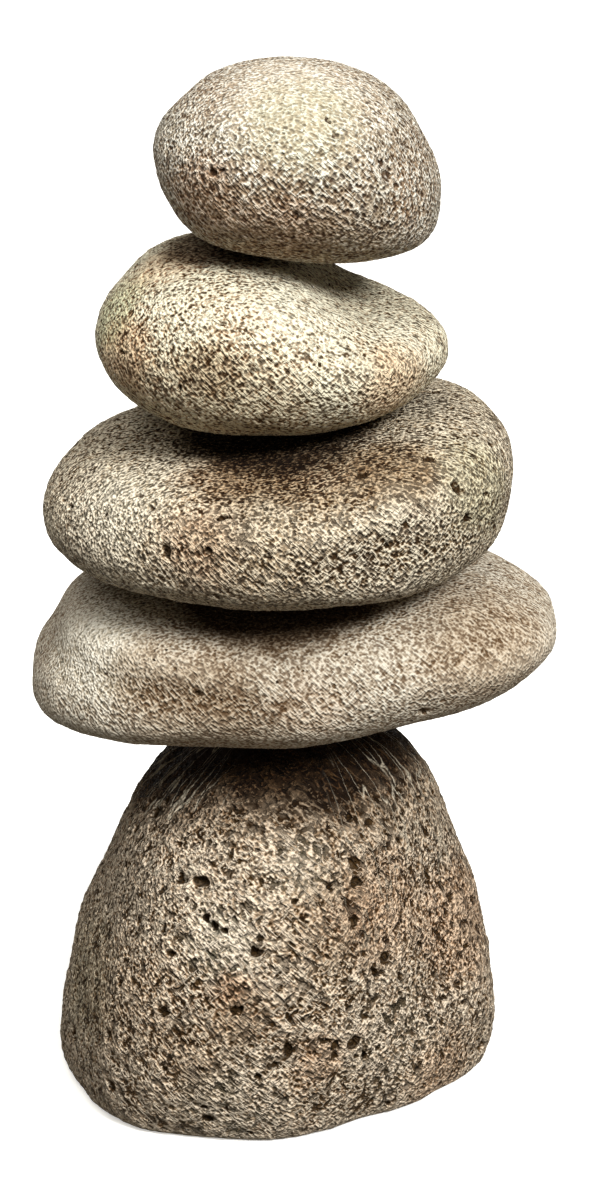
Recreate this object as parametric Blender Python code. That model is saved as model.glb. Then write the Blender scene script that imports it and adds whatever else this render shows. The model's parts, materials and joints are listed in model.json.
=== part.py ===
"""Stone cairn: four river-worn stones balanced on a boulder with a sawn foot.

Run it with  blender --background --python part.py  or from Blender's text editor.

Metres, +Z up. The origin is the middle of the boulder's flat foot, +X is to the right and -Y is
the front. Each stone is one solid of its own. It is shaped as a worn ball: a squared ellipsoid whose
radius is swelled and pressed in by two closed outlines, one seen from the front and one from above.
The stones are then lowered one onto the other, so a change of any size keeps the stack together.
"""

import math
import random
from dataclasses import dataclass

import bmesh
import bpy
from mathutils import Euler, Matrix, Vector, noise
from mathutils.bvhtree import BVHTree

MM = 0.001

# The stack as a whole
SEAT_GAP = 0.3 * MM  # clear space where a stone rests on the one below
PROBE_STEP = 1.0 * MM  # spacing of the probes that find where two stones meet
ARRIS = 1.6 * MM  # width of the worn edge round the boulder's sawn foot

# Swells and hollows of the surface, on top of the outlines
SWELL_LENGTH = 34 * MM  # from one broad swell to the next
RIPPLE_LENGTH = 13 * MM  # from one small swell to the next

# Pits are the open gas holes of the rock
PIT_SHAPE = (1.0, 0.72, 0.62)  # length, breadth and depth, against the width given for a pit
PIT_SINK = 0.18  # how far a pit's middle lies below the surface, against its width
PIT_SPACING = 1.5  # least distance between two pits, against their widths added


@dataclass
class Stone:
    """One stone of the stack. Outlines hold radius factors every 30 degrees, anticlockwise from +X."""

    name: str
    colour: tuple  # linear RGB of the rock
    size: tuple  # width, depth and height of the ellipsoid that the outlines work on
    front: tuple  # factors round the outline seen from the front, so the fourth is the top
    plan: tuple  # factors round the outline seen from above; its two ends stay 1
    squareness: tuple  # 2 is an ellipse and more is fuller: seen from above, seen from the side
    lean: tuple  # degrees it is turned about X, Y and Z
    over: tuple  # where its middle stands, x and y
    facets: int  # faces along one side of the cube that the ball is made from
    swell: float  # height of the broad swells
    ripple: float  # height of the small ones
    pits: tuple  # (azimuth, elevation, width) of the large pits, in degrees from its middle
    small_pits: tuple  # how many more pits are scattered over it, and their widths
    seed: int


BASE_STONE = Stone(
    name="base_stone",
    colour=(0.30, 0.23, 0.165),
    size=(150 * MM, 122 * MM, 176 * MM),
    front=(0.955, 0.91, 1.02, 1.018, 0.94, 0.865, 0.96, 1.12, 0.99, 1.015, 0.99, 1.09),
    plan=(1.0, 1.0, 0.97, 1.0, 1.04, 1.0, 1.0, 1.0, 1.11, 1.08, 0.89, 0.85),
    squareness=(2.2, 2.1),
    lean=(0, 0, 0),
    over=(0, 0),
    facets=12,
    swell=1.6 * MM,
    ripple=0.8 * MM,
    pits=(
        (237, 40, 4.6 * MM),
        (248, 32, 7.5 * MM),
        (233, 26, 3.8 * MM),
        (236, 20, 5.2 * MM),
        (263, 25, 4.2 * MM),
        (295, 33, 6.5 * MM),
        (303, 13, 7.0 * MM),
        (290, -6, 6.5 * MM),
        (331, -6, 4.6 * MM),
        (345, -5, 4.2 * MM),
        (258, 9, 4.2 * MM),
        (265, -15, 4.4 * MM),
    ),
    small_pits=(8, 3.6 * MM, 6.0 * MM),
    seed=11,
)
BASE_MIDDLE = 45 * MM  # height of the boulder's middle above its sawn foot

FOURTH_STONE = Stone(
    name="fourth_stone",
    colour=(0.42, 0.33, 0.24),
    size=(176 * MM, 112 * MM, 51 * MM),
    front=(0.995, 0.94, 1.03, 1.05, 1.19, 0.965, 1.0, 1.02, 0.895, 0.965, 0.905, 0.92),
    plan=(1.0, 1.03, 1.0, 0.97, 1.02, 1.04, 1.0, 1.02, 1.0, 1.0, 0.98, 1.03),
    squareness=(2.3, 2.8),
    lean=(0, -5, 0),
    over=(5 * MM, 0),
    facets=12,
    swell=1.2 * MM,
    ripple=0.4 * MM,
    pits=((212, 12, 3.4 * MM), (245, 8, 3.0 * MM)),
    small_pits=(4, 2.6 * MM, 3.8 * MM),
    seed=24,
)

THIRD_STONE = Stone(
    name="third_stone",
    colour=(0.43, 0.33, 0.23),
    size=(156 * MM, 138 * MM, 50.5 * MM),
    front=(0.985, 1.04, 1.18, 0.95, 1.0, 0.95, 0.995, 0.95, 0.905, 1.0, 1.05, 0.985),
    plan=(1.0, 1.02, 1.0, 0.98, 0.96, 1.0, 1.0, 1.0, 0.97, 1.0, 1.0, 1.02),
    squareness=(2.15, 3.0),
    lean=(0, -3.5, 0),
    over=(-0.5 * MM, 0),
    facets=12,
    swell=1.2 * MM,
    ripple=0.4 * MM,
    pits=(
        (254, 15, 4.0 * MM),
        (327, 22, 3.8 * MM),
        (325, 5, 3.6 * MM),
        (323, 11, 3.0 * MM),
        (211, 11, 4.4 * MM),
    ),
    small_pits=(4, 2.6 * MM, 4.2 * MM),
    seed=33,
)

SECOND_STONE = Stone(
    name="second_stone",
    colour=(0.50, 0.40, 0.27),
    size=(117 * MM, 102 * MM, 60 * MM),
    front=(0.96, 0.57, 0.59, 0.88, 0.98, 0.93, 0.97, 0.985, 1.05, 1.02, 1.02, 1.03),
    plan=(1.0, 0.96, 1.0, 1.0, 1.0, 1.0, 1.0, 1.0, 1.0, 1.0, 1.0, 0.96),
    squareness=(2.15, 2.3),
    lean=(0, 0, 0),
    over=(-3 * MM, 0),
    facets=11,
    swell=1.0 * MM,
    ripple=0.4 * MM,
    pits=(),
    small_pits=(3, 2.6 * MM, 3.4 * MM),
    seed=42,
)

TOP_STONE = Stone(
    name="top_stone",
    colour=(0.47, 0.40, 0.31),
    size=(94 * MM, 84 * MM, 60 * MM),
    front=(1.0, 0.92, 1.015, 1.04, 0.985, 0.93, 0.985, 0.995, 1.09, 1.0, 1.02, 1.105),
    plan=(1.0, 1.0, 1.02, 1.0, 0.97, 1.0, 1.0, 1.0, 1.0, 1.0, 1.0, 1.0),
    squareness=(2.1, 2.15),
    lean=(0, 10, 0),
    over=(6 * MM, 0),
    facets=11,
    swell=1.0 * MM,
    ripple=0.4 * MM,
    pits=((235, 3, 4.6 * MM), (282, 38, 2.8 * MM), (231, 33, 2.6 * MM)),
    small_pits=(3, 2.4 * MM, 3.2 * MM),
    seed=57,
)

STACK = (BASE_STONE, FOURTH_STONE, THIRD_STONE, SECOND_STONE, TOP_STONE)  # from the ground up


def clear_scene():
    for obj in list(bpy.data.objects):
        bpy.data.objects.remove(obj)


def on_outline(factors, angle):
    """The factor at an angle, read from a smooth closed curve through evenly spaced factors."""
    count = len(factors)
    position = (angle / math.tau) % 1.0 * count
    index = int(position)
    t = position - index
    before, start, end, after = (factors[(index + step) % count] for step in (-1, 0, 1, 2))
    rise_in = (end - before) / 2
    rise_out = (after - start) / 2
    return (
        start * (2 * t**3 - 3 * t**2 + 1)
        + rise_in * (t**3 - 2 * t**2 + t)
        + end * (3 * t**2 - 2 * t**3)
        + rise_out * (t**3 - t**2)
    )


def direction_of(azimuth, elevation):
    """The unit vector at an azimuth, anticlockwise from +X, and an elevation, both in degrees."""
    a, e = math.radians(azimuth), math.radians(elevation)
    return Vector((math.cos(a) * math.cos(e), math.sin(a) * math.cos(e), math.sin(e)))


def worn_point(stone, direction):
    """The point of the stone's surface that lies in a direction from its middle."""
    x, y, z = direction
    plan_power, side_power = stone.squareness
    across = (abs(x) ** plan_power + abs(y) ** plan_power) ** (1 / plan_power)
    fullness = (across**side_power + abs(z) ** side_power) ** (1 / side_power)
    front = on_outline(stone.front, math.atan2(z, x)) ** (x * x + z * z)
    plan = on_outline(stone.plan, math.atan2(y, x)) ** (x * x + y * y)
    width, depth, height = stone.size
    point = Vector((x * width, y * depth, z * height)) / 2 * front * plan / fullness
    shift = Vector((stone.seed, 2 * stone.seed, 3 * stone.seed))
    swell = stone.swell * noise.noise(point / SWELL_LENGTH + shift)
    ripple = stone.ripple * noise.noise(point / RIPPLE_LENGTH + shift)
    return point + point.normalized() * (swell + ripple)


def ball_mesh(facets):
    """A ball of even quads: a cube cut into squares and blown up to a sphere."""
    bm = bmesh.new()
    bmesh.ops.create_cube(bm, size=2.0)
    bmesh.ops.subdivide_edges(bm, edges=bm.edges[:], cuts=facets - 1, use_grid_fill=True)
    for vertex in bm.verts:
        even = [math.tan(part * math.pi / 4) for part in vertex.co]
        vertex.co = Vector(even).normalized()
    return bm


def saw_foot(bm, height):
    """Cuts the stone off flat at a height, closes the cut and wears its edge."""
    everything = bm.verts[:] + bm.edges[:] + bm.faces[:]
    cut = bmesh.ops.bisect_plane(
        bm,
        geom=everything,
        dist=0.01 * MM,
        plane_co=(0, 0, height),
        plane_no=(0, 0, 1),
        clear_inner=True,
    )
    rim = [piece for piece in cut["geom_cut"] if isinstance(piece, bmesh.types.BMEdge)]
    bmesh.ops.contextual_create(bm, geom=rim)
    bmesh.ops.bevel(bm, geom=rim, offset=ARRIS, segments=1, affect="EDGES")
    bmesh.ops.recalc_face_normals(bm, faces=bm.faces[:])


def pit_places(stone):
    """(direction, width) of every pit: the stated ones, then scattered ones that keep clear of them."""
    places = [(direction_of(azimuth, elevation), width) for azimuth, elevation, width in stone.pits]
    dice = random.Random(stone.seed)
    count, narrowest, widest = stone.small_pits
    wanted = len(places) + count
    while len(places) < wanted:
        direction = Vector([dice.gauss(0, 1) for _ in range(3)]).normalized()
        width = dice.uniform(narrowest, widest)
        point = worn_point(stone, direction)
        reachable = stone is not BASE_STONE or point.z > widest - BASE_MIDDLE
        if reachable and all(
            (point - worn_point(stone, other)).length > PIT_SPACING * (width + other_width)
            for other, other_width in places
        ):
            places.append((direction, width))
    return places


def pit_cutter(stone):
    """One wire object that holds a small squashed ball for each pit of a stone."""
    bm = bmesh.new()
    for direction, width in pit_places(stone):
        surface = worn_point(stone, direction)
        turn = direction.to_track_quat("Z", "Y").to_matrix().to_4x4()
        size = Matrix.Diagonal([width * part for part in PIT_SHAPE] + [1.0])
        middle = Matrix.Translation(surface - direction * width * PIT_SINK)
        bmesh.ops.create_icosphere(bm, subdivisions=1, radius=0.5, matrix=middle @ turn @ size)
    cutter = object_from(bm, stone.name + "_pits")
    cutter.display_type = "WIRE"
    cutter.hide_render = True
    return cutter


def object_from(bm, name):
    mesh = bpy.data.meshes.new(name)
    bm.to_mesh(mesh)
    bm.free()
    obj = bpy.data.objects.new(name, mesh)
    bpy.context.scene.collection.objects.link(obj)
    return obj


def rock_material(stone):
    material = bpy.data.materials.new(stone.name + "_rock")
    material.use_nodes = True
    shader = material.node_tree.nodes["Principled BSDF"]
    shader.inputs["Base Color"].default_value = (*stone.colour, 1)
    shader.inputs["Roughness"].default_value = 0.9
    shader.inputs["Metallic"].default_value = 0.0
    return material


def build_stone(stone):
    """The stone as an object whose origin is the stone's middle."""
    bm = ball_mesh(stone.facets)
    for vertex in bm.verts:
        vertex.co = worn_point(stone, vertex.co)
    if stone is BASE_STONE:
        saw_foot(bm, -BASE_MIDDLE)
    obj = object_from(bm, stone.name)
    obj.data.materials.append(rock_material(stone))
    pits = pit_cutter(stone)
    pits.parent = obj
    cut = obj.modifiers.new("Pits", "BOOLEAN")
    cut.operation = "DIFFERENCE"
    cut.solver = "EXACT"
    cut.object = pits
    obj.data.shade_smooth()
    obj.data.set_sharp_from_angle(angle=math.radians(50))
    obj.rotation_euler = Euler([math.radians(part) for part in stone.lean])
    obj.location = (*stone.over, BASE_MIDDLE)
    return obj


def tree_of(obj):
    """The object's mesh in world space, without its pits, ready for probing, and its points."""
    points = [obj.matrix_world @ vertex.co for vertex in obj.data.vertices]
    faces = [tuple(face.vertices) for face in obj.data.polygons]
    return BVHTree.FromPolygons(points, faces), points


def lower_onto(upper, lower):
    """Moves a stone straight down or up until it clears the stone below by SEAT_GAP."""
    bpy.context.view_layer.update()
    upper_tree, upper_points = tree_of(upper)
    lower_tree, lower_points = tree_of(lower)
    far_up = max(point.z for point in upper_points + lower_points) + 1
    far_down = min(point.z for point in upper_points + lower_points) - 1
    left, right = (f(point.x for point in upper_points) for f in (min, max))
    front, back = (f(point.y for point in upper_points) for f in (min, max))
    clearances = []
    for column in range(int((right - left) / PROBE_STEP)):
        for row in range(int((back - front) / PROBE_STEP)):
            x = left + column * PROBE_STEP
            y = front + row * PROBE_STEP
            underside = upper_tree.ray_cast(Vector((x, y, far_down)), Vector((0, 0, 1)))[0]
            crown = lower_tree.ray_cast(Vector((x, y, far_up)), Vector((0, 0, -1)))[0]
            if underside and crown:
                clearances.append(underside.z - crown.z)
    upper.location.z -= min(clearances) - SEAT_GAP


def main():
    clear_scene()
    cairn = bpy.data.objects.new("stone_cairn", None)
    bpy.context.scene.collection.objects.link(cairn)
    below = None
    for stone in STACK:
        obj = build_stone(stone)
        obj.parent = cairn
        if below:
            lower_onto(obj, below)
        below = obj
    bpy.context.view_layer.update()


main()
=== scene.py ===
# %% [markdown]
# # A cairn of river stones
#
# Five stones are stacked dry: a domed boulder on a sawn foot, a long slab, a lens, a stone with a
# pointed end, and an egg on top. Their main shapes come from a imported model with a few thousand
# faces. This lesson dresses each of them: it turns the coarse solid into a dense mesh, wears lumps,
# pits and coarse grain into it, and paints it as the rough, open-grained rock that it is.

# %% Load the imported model
import json
import math

import bpy
import numpy as np
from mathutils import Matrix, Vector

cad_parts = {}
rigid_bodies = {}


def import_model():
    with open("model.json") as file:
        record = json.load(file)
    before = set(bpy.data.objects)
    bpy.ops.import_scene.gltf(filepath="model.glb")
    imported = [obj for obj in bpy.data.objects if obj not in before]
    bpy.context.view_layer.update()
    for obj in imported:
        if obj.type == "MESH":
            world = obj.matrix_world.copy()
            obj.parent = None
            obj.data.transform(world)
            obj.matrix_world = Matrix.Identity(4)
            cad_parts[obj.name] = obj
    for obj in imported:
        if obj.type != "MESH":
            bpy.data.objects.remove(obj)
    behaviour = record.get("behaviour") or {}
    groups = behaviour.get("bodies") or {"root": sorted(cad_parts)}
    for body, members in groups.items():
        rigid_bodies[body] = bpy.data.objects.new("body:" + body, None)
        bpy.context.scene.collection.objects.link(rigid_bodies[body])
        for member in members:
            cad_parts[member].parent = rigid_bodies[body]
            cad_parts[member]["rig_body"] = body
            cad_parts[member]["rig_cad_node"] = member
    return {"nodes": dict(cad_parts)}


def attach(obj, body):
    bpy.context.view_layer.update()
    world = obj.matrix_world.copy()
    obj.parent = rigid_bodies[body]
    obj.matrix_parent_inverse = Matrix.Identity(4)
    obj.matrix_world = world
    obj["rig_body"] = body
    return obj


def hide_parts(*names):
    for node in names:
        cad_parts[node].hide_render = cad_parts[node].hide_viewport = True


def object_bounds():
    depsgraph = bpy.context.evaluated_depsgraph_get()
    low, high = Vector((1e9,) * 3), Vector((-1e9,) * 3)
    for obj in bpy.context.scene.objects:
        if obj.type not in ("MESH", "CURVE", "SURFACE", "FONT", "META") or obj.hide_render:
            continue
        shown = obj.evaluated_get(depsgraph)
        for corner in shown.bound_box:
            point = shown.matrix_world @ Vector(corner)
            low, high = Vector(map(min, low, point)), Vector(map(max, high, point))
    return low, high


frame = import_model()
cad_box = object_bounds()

MM = 0.001  # Blender's unit is the metre, and sizes here are written in millimetres
print("packed stones:", ", ".join(sorted(frame["nodes"])))

# %% [markdown]
# ## One helper for every node tree
#
# The wearing of the surface and the painting of it are both trees of nodes. A single function adds
# a node, sets its options, joins its inputs and hands back an output, so that calls can be nested
# like sums. An input is named by its number or its name. Some nodes hide several inputs behind one
# name, of which only one is in use, so the name is looked up among those. Colours are written as
# sRGB hex values, as a paint chart gives them, and one more function makes them linear.


# %% A function that adds a node, and one that reads a colour
def socket_in_use(sockets, key):
    """A node's input or output, by number, or by name among those that its options leave in use."""
    if isinstance(key, int):
        return sockets[key]
    return next(socket for socket in sockets if socket.name == key and socket.enabled)


def add_node(tree, kind, inputs=None, output=0, **options):
    """Adds a node, sets its options, joins or sets its inputs, and returns one of its outputs."""
    node = tree.nodes.new(kind)
    for option, value in options.items():
        setattr(node, option, value)
    for key, value in (inputs or {}).items():
        socket = socket_in_use(node.inputs, key)
        if isinstance(value, bpy.types.NodeSocket):
            tree.links.new(value, socket)
        else:
            socket.default_value = value
    return socket_in_use(node.outputs, output) if node.outputs else node


def linear(hex_colour):
    """An sRGB hex colour as the linear RGBA that Blender's sockets take."""
    channels = [int(hex_colour[i : i + 2], 16) / 255 for i in (1, 3, 5)]
    return [c / 12.92 if c <= 0.04045 else ((c + 0.055) / 1.055) ** 2.4 for c in channels] + [1.0]


print("#808080 in linear values:", [round(channel, 3) for channel in linear("#808080")])

# %% [markdown]
# ## The stones, and how rough each one is
#
# River stones are worn round as they roll, so their outlines are smooth, but the rock here is full
# of gas holes and coarse grains, and those stay open however long it rolls. The boulder is the
# roughest. The slab is the finest and smoothest. Everything that tells one stone's surface from the
# next is in one table, with heights and depths in millimetres.

# %% Describe each stone's surface
STONES = {
    "boulder": {
        "node": "base_stone",
        "slot": "base_rock",
        "lumps": 1.3,  # height of the broad lumps
        "dimples": 0.8,  # height of the finger-sized hollows
        "grain": 0.55,  # height of the coarse grains
        "pits": 0.6,  # how many of the possible pits are open, 0 to 1
        "pit_depth": 1.9,
        "seed": 3.0,  # shifts every pattern, so that no two stones look alike
    },
    "slab": {
        "node": "fourth_stone",
        "slot": "fourth_rock",
        "lumps": 0.8,
        "dimples": 0.35,
        "grain": 0.22,
        "pits": 0.4,
        "pit_depth": 1.1,
        "seed": 11.0,
    },
    "lens": {
        "node": "third_stone",
        "slot": "third_rock",
        "lumps": 0.9,
        "dimples": 0.5,
        "grain": 0.36,
        "pits": 0.6,
        "pit_depth": 1.3,
        "seed": 17.0,
    },
    "pointed_stone": {
        "node": "second_stone",
        "slot": "second_rock",
        "lumps": 0.8,
        "dimples": 0.45,
        "grain": 0.36,
        "pits": 0.5,
        "pit_depth": 1.1,
        "seed": 23.0,
    },
    "egg": {
        "node": "top_stone",
        "slot": "top_rock",
        "lumps": 0.7,
        "dimples": 0.4,
        "grain": 0.36,
        "pits": 0.4,
        "pit_depth": 1.1,
        "seed": 31.0,
    },
}
print("roughest grain:", max(STONES, key=lambda name: STONES[name]["grain"]))

# %% [markdown]
# ## The large pits
#
# A pattern will scatter the small pits, but the large ones give a stone its face, as eyes and a
# mouth do. So those are placed one by one: the pairs and strings of gas holes on the boulder's
# front, the cluster at the left end of the lens, and a few single ones higher up.

# %% List the large pits
PITS = {  # middle and radius of each large pit, in mm from the middle of the foot
    "boulder": [
        ((-32, -49, 94), 1.9),
        ((-31, -53, 89), 1.2),
        ((-24, -57, 85), 1.8),
        ((-21, -58, 82), 1.8),
        ((-17, -60, 81), 1.4),
        ((-8, -63, 75), 1.9),
        ((32, -48, 60), 1.7),
        ((35, -47, 58), 1.6),
        ((-14, -66, 56), 1.8),
        ((25, -51, 80), 1.9),
        ((15, -61, 40), 1.7),
        ((19, -59, 38), 1.9),
        ((29, -52, 30), 2.1),
        ((-7, -66, 29), 1.5),
        ((3, -65, 39), 1.7),
        ((48, -30, 60), 1.5),
        ((-38, -53, 78), 1.5),
        ((-36, -57, 71), 1.4),
        ((-39, -60, 52), 1.5),
        ((-54, -47, 56), 1.5),
        ((27, -40, 100), 1.2),
    ],
    "slab": [((-27, -53, 164), 1.1), ((49, -44, 179), 1.0), ((26, -54, 166), 0.9)],
    "lens": [
        ((-18, -59, 228), 2.1),
        ((60, -47, 222), 1.6),
        ((52, -32, 241), 1.4),
        ((-69, -24, 220), 1.6),
        ((-67, -30, 218), 1.5),
        ((-59, -39, 226), 1.3),
        ((-61, -35, 227), 1.2),
        ((-56, -43, 223), 1.3),
    ],
    "pointed_stone": [
        ((-40, -35, 281), 1.1),
        ((-50, -31, 272), 1.0),
        ((13, -47, 273), 1.0),
        ((-31, -45, 265), 1.1),
    ],
    "egg": [
        ((-20, -36, 332), 1.3),
        ((-18, -36, 334), 1.2),
        ((16, -30, 348), 1.1),
        ((32, -31, 335), 1.0),
    ],
}
print("large pits placed by hand:", sum(len(pits) for pits in PITS.values()))

# %% [markdown]
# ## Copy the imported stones
#
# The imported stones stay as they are, since the lesson's result is compared with them. Each is
# copied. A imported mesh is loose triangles, so the copy's doubled points are merged before anything
# is done to it. An operator acts on all that is selected, so one helper makes a stone the only one
# selected, and the active one.

# %% Copy each stone and merge its points
SAME_POINT = 0.01 * MM  # points closer than this are one


def pick_out(stone):
    """Makes a stone the only one selected, and the active one."""
    if bpy.context.mode != "OBJECT":
        bpy.ops.object.mode_set(mode="OBJECT")
    bpy.ops.object.select_all(action="DESELECT")
    stone.select_set(True)
    bpy.context.view_layer.objects.active = stone


def copy_of_node(node_name, name):
    """A merged copy of a packed stone, which is left alone itself."""
    pick_out(frame["nodes"][node_name])
    bpy.ops.object.duplicate()
    stone = bpy.context.view_layer.objects.active
    stone.name = stone.data.name = name
    stone.parent = None
    for key in ("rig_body", "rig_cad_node"):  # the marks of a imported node, which the copy isn't
        del stone[key]
    stone.data.materials.clear()
    bpy.ops.object.mode_set(mode="EDIT")
    bpy.ops.mesh.select_all(action="SELECT")
    bpy.ops.mesh.remove_doubles(threshold=SAME_POINT)
    bpy.ops.mesh.tris_convert_to_quads()
    bpy.ops.mesh.normals_make_consistent(inside=False)
    bpy.ops.object.mode_set(mode="OBJECT")
    return stone


for name, look in STONES.items():
    look["mesh"] = copy_of_node(look["node"], name)
    print(f"{name}: copied, {len(look['mesh'].data.polygons)} faces")

# %% [markdown]
# ## From a coarse solid to a dense skin
#
# The faces are about 8 mm across. To carry grain of 2 mm they have to be about a millimetre or
# less. One way is to keep subdividing, but that puts as many points on a pit's rim as on a whole
# flank. So the copy is rounded by subdividing it twice, and then rebuilt with the voxel remesher,
# which lays even squares all over. The size of those squares is worked out from the stone's area,
# so that every stone gets about the same number of faces, large or small.

# %% Give each copy an even skin
SKIN_FACES = 92_000  # squares on each stone, two triangles apiece
SKIN_SPREAD = 1.42  # the remesher makes this many squares where area over square gives one


def apply_modifier(stone, kind, **settings):
    """Adds a modifier to the active stone, sets it and applies it."""
    bpy.ops.object.modifier_add(type=kind)
    modifier = stone.modifiers[-1]
    for setting, value in settings.items():
        setattr(modifier, setting, value)
    bpy.ops.object.modifier_apply(modifier=modifier.name)


def give_even_skin(stone):
    pick_out(stone)
    apply_modifier(stone, "SUBSURF", levels=2, render_levels=2)
    area = sum(face.area for face in stone.data.polygons)
    square = math.sqrt(SKIN_SPREAD * area / SKIN_FACES)
    apply_modifier(stone, "REMESH", mode="VOXEL", voxel_size=square, use_smooth_shade=True)
    apply_modifier(stone, "SMOOTH", factor=0.5, iterations=3)  # takes off the voxels' steps
    print(f"{stone.name}: squares of {square / MM:.2f} mm, {len(stone.data.polygons)} faces")


for look in STONES.values():
    give_even_skin(look["mesh"])

# %% [markdown]
# ## Draw a pattern out, and make it ragged
#
# Every pattern is a sum that turns a place into a number, so a pattern is changed by changing the
# places that it is given. The rock has a faint fabric, drawn out on a slant by the flow of the lava
# that it set from, and its grains and pits are a little longer along that slant. Turned and
# squeezed places do that. Places that are pushed about by a noise make straight or round outlines
# ragged, as broken rock is.

# %% Change the places that a pattern is read at
FABRIC_SLANT = 45  # degrees below +X, seen from the front
PIT_STRETCH = 1.5  # how much longer pits are along the slant


def along_fabric(tree, place, slant, stretch):
    """Places in which an even pattern comes out longer along a slant, seen from the front."""
    turn = {"Vector": place, "Angle": -math.radians(slant)}
    turned = add_node(tree, "ShaderNodeVectorRotate", turn, rotation_type="Y_AXIS")
    squeeze = {0: turned, 1: (1 / stretch, 1, 1)}
    return add_node(tree, "ShaderNodeVectorMath", squeeze, operation="MULTIPLY")


def on_fabric(x, y, z, slant, stretch):
    """Where a point ends up among the places that `along_fabric` makes."""
    along, across = math.cos(math.radians(slant)), math.sin(math.radians(slant))
    return (x * along - z * across) / stretch, y, x * across + z * along


def swaying(tree, place, spacing, reach):
    """Places pushed about at random by up to half the reach."""
    pattern = {"Vector": place, "Scale": 1 / spacing, "Detail": 1.0}
    noise = add_node(tree, "ShaderNodeTexNoise", pattern, "Color")
    mean = {0: noise, 1: (0.5, 0.5, 0.5)}
    centred = add_node(tree, "ShaderNodeVectorMath", mean, operation="SUBTRACT")
    push = add_node(tree, "ShaderNodeVectorMath", {0: centred, "Scale": reach}, operation="SCALE")
    return add_node(tree, "ShaderNodeVectorMath", {0: place, 1: push}, operation="ADD")


landed = on_fabric(10, 0, 0, FABRIC_SLANT, PIT_STRETCH)
print("a point 10 mm to the right is read at", [round(part, 1) for part in landed])

# %% [markdown]
# ## Lumps, grains and pits
#
# Two kinds of relief are enough. A noise gives swells and hollows of one size, so it serves for the
# lumps, the dimples and the grains. Pits come from a Voronoi pattern, which splits space into
# cells: a small bowl is sunk near the middle of some of its cells, and the cell's own random colour
# says whether it is open and how wide.

# %% The reliefs that the wear is made of
BOWL_FLOOR = 0.45  # a bowl is full depth out to this share of its radius
BOWL_RIM = 1.15  # and has faded to nothing here
LEAST_RADIUS = 0.01  # keeps the radius of a closed pit off zero, since it is divided by


def rolling_relief(tree, place, spacing, height, detail=1.0):
    """Relief between minus and plus half of a height, with swells about as wide as the spacing."""
    pattern = {"Vector": place, "Scale": 1 / spacing, "Detail": detail, "Roughness": 0.55}
    noise = add_node(tree, "ShaderNodeTexNoise", pattern)
    centred = add_node(tree, "ShaderNodeMath", {0: noise, 1: 0.5}, operation="SUBTRACT")
    return add_node(tree, "ShaderNodeMath", {0: centred, 1: 2 * height}, operation="MULTIPLY")


def pit_relief(tree, place, cell, share_open, widest, depth):
    """Bowls in a share of the cells. `widest` is a bowl's largest radius, against its cell."""
    pattern = {"Vector": place, "Scale": 1 / cell}
    voronoi = add_node(tree, "ShaderNodeTexVoronoi", pattern, "Distance").node
    lot = add_node(tree, "FunctionNodeSeparateColor", {0: voronoi.outputs["Color"]})
    drawn = {0: lot, 1: 1 - share_open, 2: 1.0, 3: 0.0, 4: widest}
    radius = add_node(tree, "ShaderNodeMapRange", drawn)
    no_less = add_node(tree, "ShaderNodeMath", {0: radius, 1: LEAST_RADIUS}, operation="MAXIMUM")
    from_middle = {0: voronoi.outputs["Distance"], 1: no_less}
    reach = add_node(tree, "ShaderNodeMath", from_middle, operation="DIVIDE")
    fade = {0: reach, 1: BOWL_FLOOR, 2: BOWL_RIM, 3: 1.0, 4: 0.0}
    bowl = add_node(tree, "ShaderNodeMapRange", fade, interpolation_type="SMOOTHSTEP")
    sunk = add_node(tree, "ShaderNodeMath", {0: radius, 1: -depth / widest}, operation="MULTIPLY")
    return add_node(tree, "ShaderNodeMath", {0: bowl, 1: sunk}, operation="MULTIPLY")


print(f"a bowl is flat over {BOWL_FLOOR / BOWL_RIM:.0%} of its width")

# %% [markdown]
# ## Sink the large pits
#
# The pits listed above are bowls too, but their middles are known, so no pattern is needed: the
# distance to each middle says how deep the surface lies there. The places are drawn out along the
# fabric first, and so each middle is moved to where it lies among them. Where two bowls overlap,
# the deeper one counts.

# %% The relief of the placed pits
PLACED_FLOOR = 0.4  # a placed pit is full depth out to this share of its radius
PIT_STEEPNESS = 1.1  # a placed pit's depth, against its radius


def placed_pits(tree, place, pits):
    """Bowls in given places, drawn out along the fabric, with nothing between them."""
    slanted = along_fabric(tree, place, FABRIC_SLANT, PIT_STRETCH)
    relief = 0.0
    for middle, radius in pits:
        slanted_middle = on_fabric(*middle, FABRIC_SLANT, PIT_STRETCH)
        to_middle = {0: slanted, 1: [part * MM for part in slanted_middle]}
        distance = add_node(tree, "ShaderNodeVectorMath", to_middle, "Value", operation="DISTANCE")
        floor_reach, rim_reach = PLACED_FLOOR * radius * MM, BOWL_RIM * radius * MM
        fade = {0: distance, 1: floor_reach, 2: rim_reach, 3: -PIT_STEEPNESS * radius * MM, 4: 0.0}
        bowl = add_node(tree, "ShaderNodeMapRange", fade, interpolation_type="SMOOTHSTEP")
        relief = add_node(tree, "ShaderNodeMath", {0: relief, 1: bowl}, operation="MINIMUM")
    return relief


deepest = max(radius for pits in PITS.values() for _, radius in pits) * PIT_STEEPNESS
print(f"deepest placed pit: {deepest:.1f} mm")
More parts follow.
